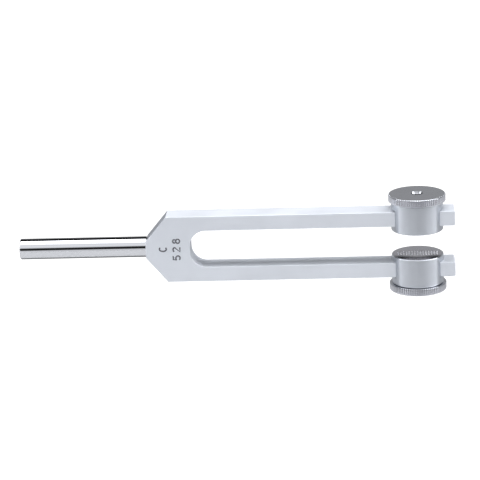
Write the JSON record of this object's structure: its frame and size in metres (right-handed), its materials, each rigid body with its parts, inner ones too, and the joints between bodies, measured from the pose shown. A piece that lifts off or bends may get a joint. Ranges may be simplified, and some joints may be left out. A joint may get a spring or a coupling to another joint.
{
  "type": "tuning fork",
  "caption": "Flat-bar tuning fork with a round screwed-in stem and a knurled clamp weight that slides along each prong to lower its pitch.",
  "frame": {"origin": "centre of the flat free end of the stem", "axes": "+X along the fork's axis from the stem's free end to the prong tips; +Z in the direction in which the two prongs are spaced, the upper prong on the +Z side; the stamped face looks along -Y"},
  "size_m": [0.15, 0.0196, 0.034],
  "materials": {
    "fork": "fine bead-blasted satin aluminium",
    "stem": "mirror-polished chrome on steel",
    "drum": "finely turned, satin-plated steel",
    "end_plate": "smooth turned steel, slightly domed at its edge, with a row of fine engraved lines",
    "cap": "plated steel, fine straight knurl on the rim and a smooth turned face",
    "screw": "plain turned steel thread",
    "pad": "plain turned brass"
  },
  "bodies": {
    "fork": {"fork_body": "fork", "stem": "stem"},
    "upper_weight": {"upper_weight_body": "drum", "upper_end_plate": "end_plate"},
    "upper_pad": {"upper_thrust_pad": "pad"},
    "upper_clamp": {"upper_clamp_cap": "cap", "upper_clamp_screw": "screw"},
    "lower_weight": {"lower_weight_body": "drum", "lower_end_plate": "end_plate"},
    "lower_pad": {"lower_thrust_pad": "pad"},
    "lower_clamp": {"lower_clamp_cap": "cap", "lower_clamp_screw": "screw"}
  },
  "joints": [
    {"name": "upper_weight_slide", "type": "slide", "parent": "fork", "child": "upper_weight", "axis": [1, 0, 0], "range_m": [-0.063, 0.0038]},
    {"name": "upper_pad_travel", "type": "slide", "parent": "upper_weight", "child": "upper_pad", "axis": [0, 0, 1], "range_m": [0, 0.0008]},
    {"name": "upper_clamp_turn", "type": "hinge", "parent": "upper_pad", "child": "upper_clamp", "pos_m": [0.1372, 0, 0.0157], "axis": [0, 0, 1], "range_deg": [0, 360]},
    {"name": "lower_weight_slide", "type": "slide", "parent": "fork", "child": "lower_weight", "axis": [1, 0, 0], "range_m": [-0.063, 0.0038]},
    {"name": "lower_pad_travel", "type": "slide", "parent": "lower_weight", "child": "lower_pad", "axis": [0, 0, -1], "range_m": [0, 0.0008]},
    {"name": "lower_clamp_turn", "type": "hinge", "parent": "lower_pad", "child": "lower_clamp", "pos_m": [0.1372, 0, -0.0157], "axis": [0, 0, -1], "range_deg": [0, 360]}
  ],
  "couplings": [
    {"joint": "upper_clamp_turn", "follows": "upper_pad_travel", "rad_per_m": 7853.2},
    {"joint": "lower_clamp_turn", "follows": "lower_pad_travel", "rad_per_m": 7853.2}
  ]
}
